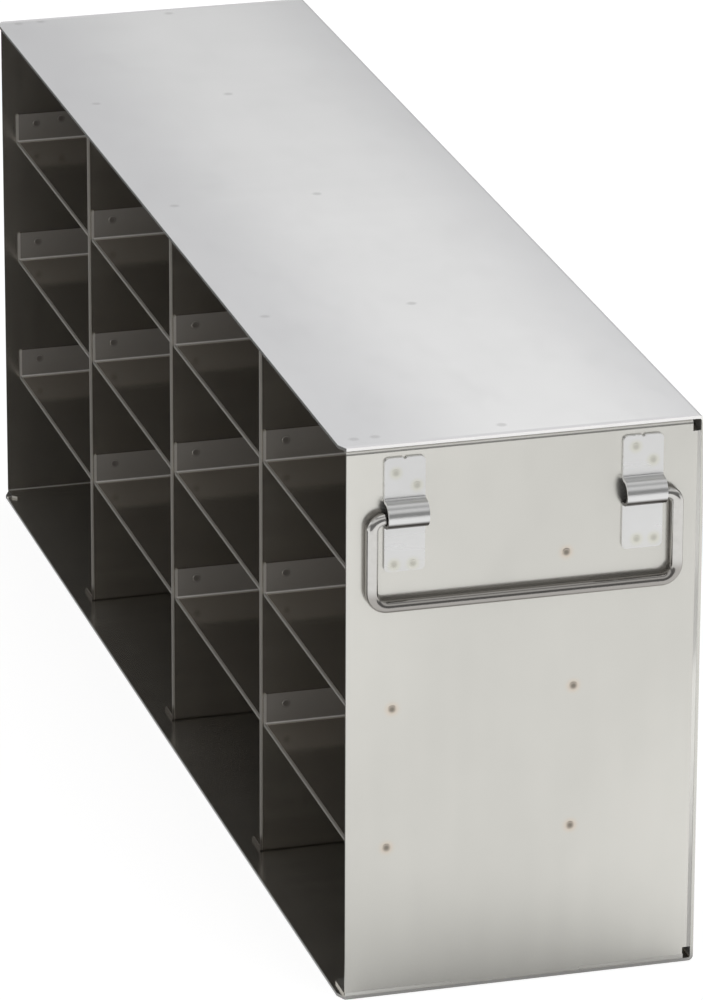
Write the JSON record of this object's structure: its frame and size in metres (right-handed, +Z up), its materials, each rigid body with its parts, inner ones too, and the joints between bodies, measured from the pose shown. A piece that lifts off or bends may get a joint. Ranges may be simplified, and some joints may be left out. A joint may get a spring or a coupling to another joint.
{
  "type": "freezer storage rack",
  "caption": "Side-access stainless sheet-metal rack that holds square cryogenic boxes in stacked compartments, with a folding wire handle at one end.",
  "frame": {"origin": "centre of the footprint, on the underside of the wrap's bottom sheet", "axes": "+X towards the closed side, +Y along the depth away from the handle, +Z up"},
  "size_m": [0.1396, 0.5677, 0.2205],
  "materials": {
    "stainless_wrap": "fine satin",
    "stainless_panel": "fine satin",
    "stainless_inner": "mill finish",
    "stainless_bracket": "fine satin",
    "bright_wire": "polished"
  },
  "bodies": {
    "rack": {"wrap": "stainless_wrap", "front_panel": "stainless_panel", "rear_panel": "stainless_panel", "divider_1": "stainless_inner", "divider_2": "stainless_inner", "divider_3": "stainless_inner", "shelf_1_2": "stainless_inner", "shelf_1_3": "stainless_inner", "shelf_1_4": "stainless_inner", "shelf_2_2": "stainless_inner", "shelf_2_3": "stainless_inner", "shelf_2_4": "stainless_inner", "shelf_3_2": "stainless_inner", "shelf_3_3": "stainless_inner", "shelf_3_4": "stainless_inner", "shelf_4_2": "stainless_inner", "shelf_4_3": "stainless_inner", "shelf_4_4": "stainless_inner", "handle_bracket_left": "stainless_bracket", "handle_bracket_right": "stainless_bracket"},
    "bail": {"handle_bail": "bright_wire"}
  },
  "joints": [
    {"name": "bail_hinge", "type": "hinge", "parent": "rack", "child": "bail", "pos_m": [0, -0.2827, 0.1927], "axis": [-1, 0, 0], "range_deg": [0, 180]}
  ]
}
